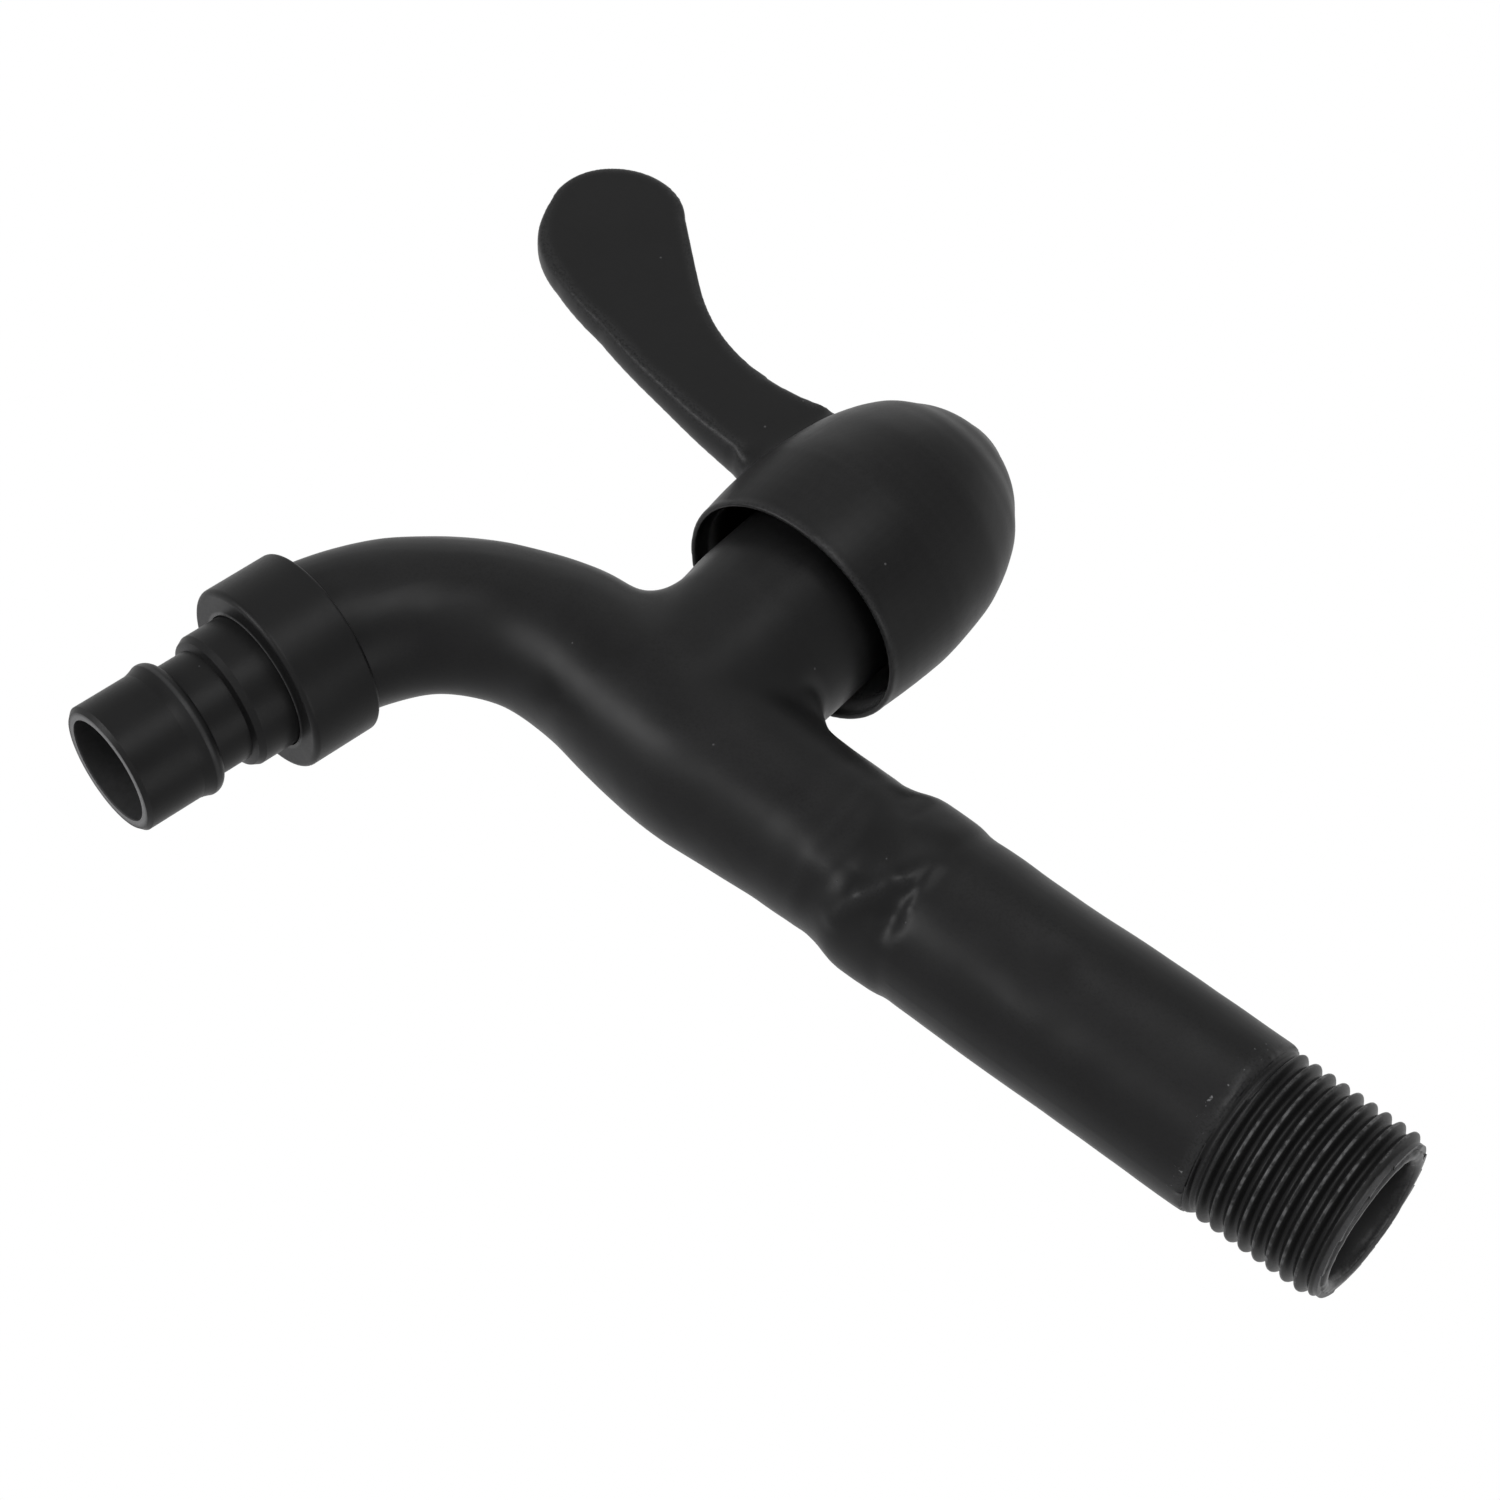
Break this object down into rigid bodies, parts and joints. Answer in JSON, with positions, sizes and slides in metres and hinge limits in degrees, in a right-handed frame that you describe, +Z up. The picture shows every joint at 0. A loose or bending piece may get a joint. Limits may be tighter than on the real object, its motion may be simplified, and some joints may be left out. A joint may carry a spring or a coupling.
{
  "type": "washing machine tap",
  "caption": "Long shank bib tap for a washing machine, with a domed quarter turn handle, a bent spout, a smooth collar and a stepped hose nozzle.",
  "frame": {"origin": "centre of the inlet's end face, on the axis of the inlet thread", "axes": "+X from the inlet end towards the spout, +Z up the neck of the valve, as the tap hangs on a wall"},
  "size_m": [0.1682, 0.0326, 0.1149],
  "materials": {
    "coated_steel": "satin black coating over cast stainless steel",
    "brass": "machined",
    "rubber": "matt",
    "ceramic": "lapped",
    "steel": "bright",
    "polymer": "matt",
    "cap": "satin"
  },
  "bodies": {
    "tap": {"valve_body": "coated_steel", "cartridge_bonnet": "brass", "bonnet_gasket": "rubber", "seat_seal": "rubber", "fixed_disc": "ceramic", "outlet_collar": "coated_steel", "hose_nozzle": "coated_steel", "nozzle_washer": "rubber"},
    "turning_handle": {"handle": "coated_steel", "handle_screw": "steel", "screw_washer": "steel", "screw_plug": "cap", "spindle": "brass", "spindle_circlip": "steel", "spindle_o_rings": "rubber", "slip_washer": "polymer", "turning_disc": "ceramic"}
  },
  "joints": [
    {"name": "handle_turn", "type": "hinge", "parent": "tap", "child": "turning_handle", "pos_m": [0.0996, 0, 0], "axis": [0, 0, 1], "range_deg": [0, 90]}
  ]
}
